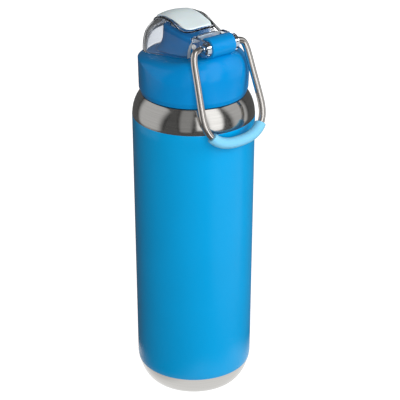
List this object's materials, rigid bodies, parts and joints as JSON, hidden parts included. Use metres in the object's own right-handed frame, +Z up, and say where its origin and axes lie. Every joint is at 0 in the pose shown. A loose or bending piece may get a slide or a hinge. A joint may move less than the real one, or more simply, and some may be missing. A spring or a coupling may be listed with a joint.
{
  "type": "insulated water bottle",
  "caption": "Tall double-wall steel bottle with a rounded shoulder and foot, a screw lid, a clear flip hood over a built-in spout and a wire bail handle with a soft sleeve.",
  "frame": {"origin": "middle of the bottle's standing ring, on the surface it stands on and on the bottle's axis", "axes": "+Z up along the bottle's axis, -Y towards the spout, +Y towards the hinge and the hanging handle, X along the hinge"},
  "size_m": [0.09, 0.1016, 0.2923],
  "materials": {
    "painted_steel": "satin blue powder coat",
    "bare_steel": "fine turned satin",
    "polished_wire": "polished drawn wire",
    "lid_plastic": "semi-gloss moulded blue",
    "clear_plastic": "clear moulded plastic",
    "frosted_plastic": "frosted pale grey",
    "white_plastic": "moulded white",
    "pale_silicone": "soft matt light blue",
    "grey_silicone": "soft matt translucent grey",
    "nylon": "self-lubricating moulded nylon",
    "foam": "closed-cell foam",
    "getter_metal": "dull sintered pill",
    "seal_glass": "fused dark glass bead"
  },
  "bodies": {
    "bottle": {"outer_shell": "painted_steel", "inner_liner": "bare_steel", "base_cap": "bare_steel", "vacuum_seal_bead": "seal_glass", "vacuum_getter": "getter_metal"},
    "gasket_ring": {"lid_gasket": "grey_silicone"},
    "lid": {"lid_shell": "lid_plastic", "lid_threaded_liner": "white_plastic", "lid_insulation": "foam", "spout": "lid_plastic", "spout_seal": "grey_silicone", "hinge_bush_left": "nylon", "hinge_bush_right": "nylon"},
    "hood": {"hood_shell": "clear_plastic", "hood_pad": "frosted_plastic", "stopper_stem": "clear_plastic", "stopper_seal": "grey_silicone", "hood_detent_left": "white_plastic", "hood_detent_right": "white_plastic"},
    "handle": {"handle_wire": "polished_wire", "handle_sleeve": "pale_silicone"}
  },
  "joints": [
    {"name": "lid_lift", "type": "slide", "parent": "bottle", "child": "gasket_ring", "axis": [0, 0, 1], "range_m": [0, 0.0071]},
    {"name": "lid_turn", "type": "hinge", "parent": "gasket_ring", "child": "lid", "pos_m": [0, 0, 0.2376], "axis": [0, 0, 1], "range_deg": [0, 630]},
    {"name": "hood_flip", "type": "hinge", "parent": "lid", "child": "hood", "pos_m": [0, 0.029, 0.27951], "axis": [1, 0, 0], "range_deg": [-125, 0]},
    {"name": "handle_swing", "type": "hinge", "parent": "lid", "child": "handle", "pos_m": [0, 0.029, 0.27951], "axis": [1, 0, 0], "range_deg": [0, 160]}
  ],
  "couplings": [
    {"joint": "lid_lift", "follows": "lid_turn", "m_per_rad": 0.00063662}
  ]
}
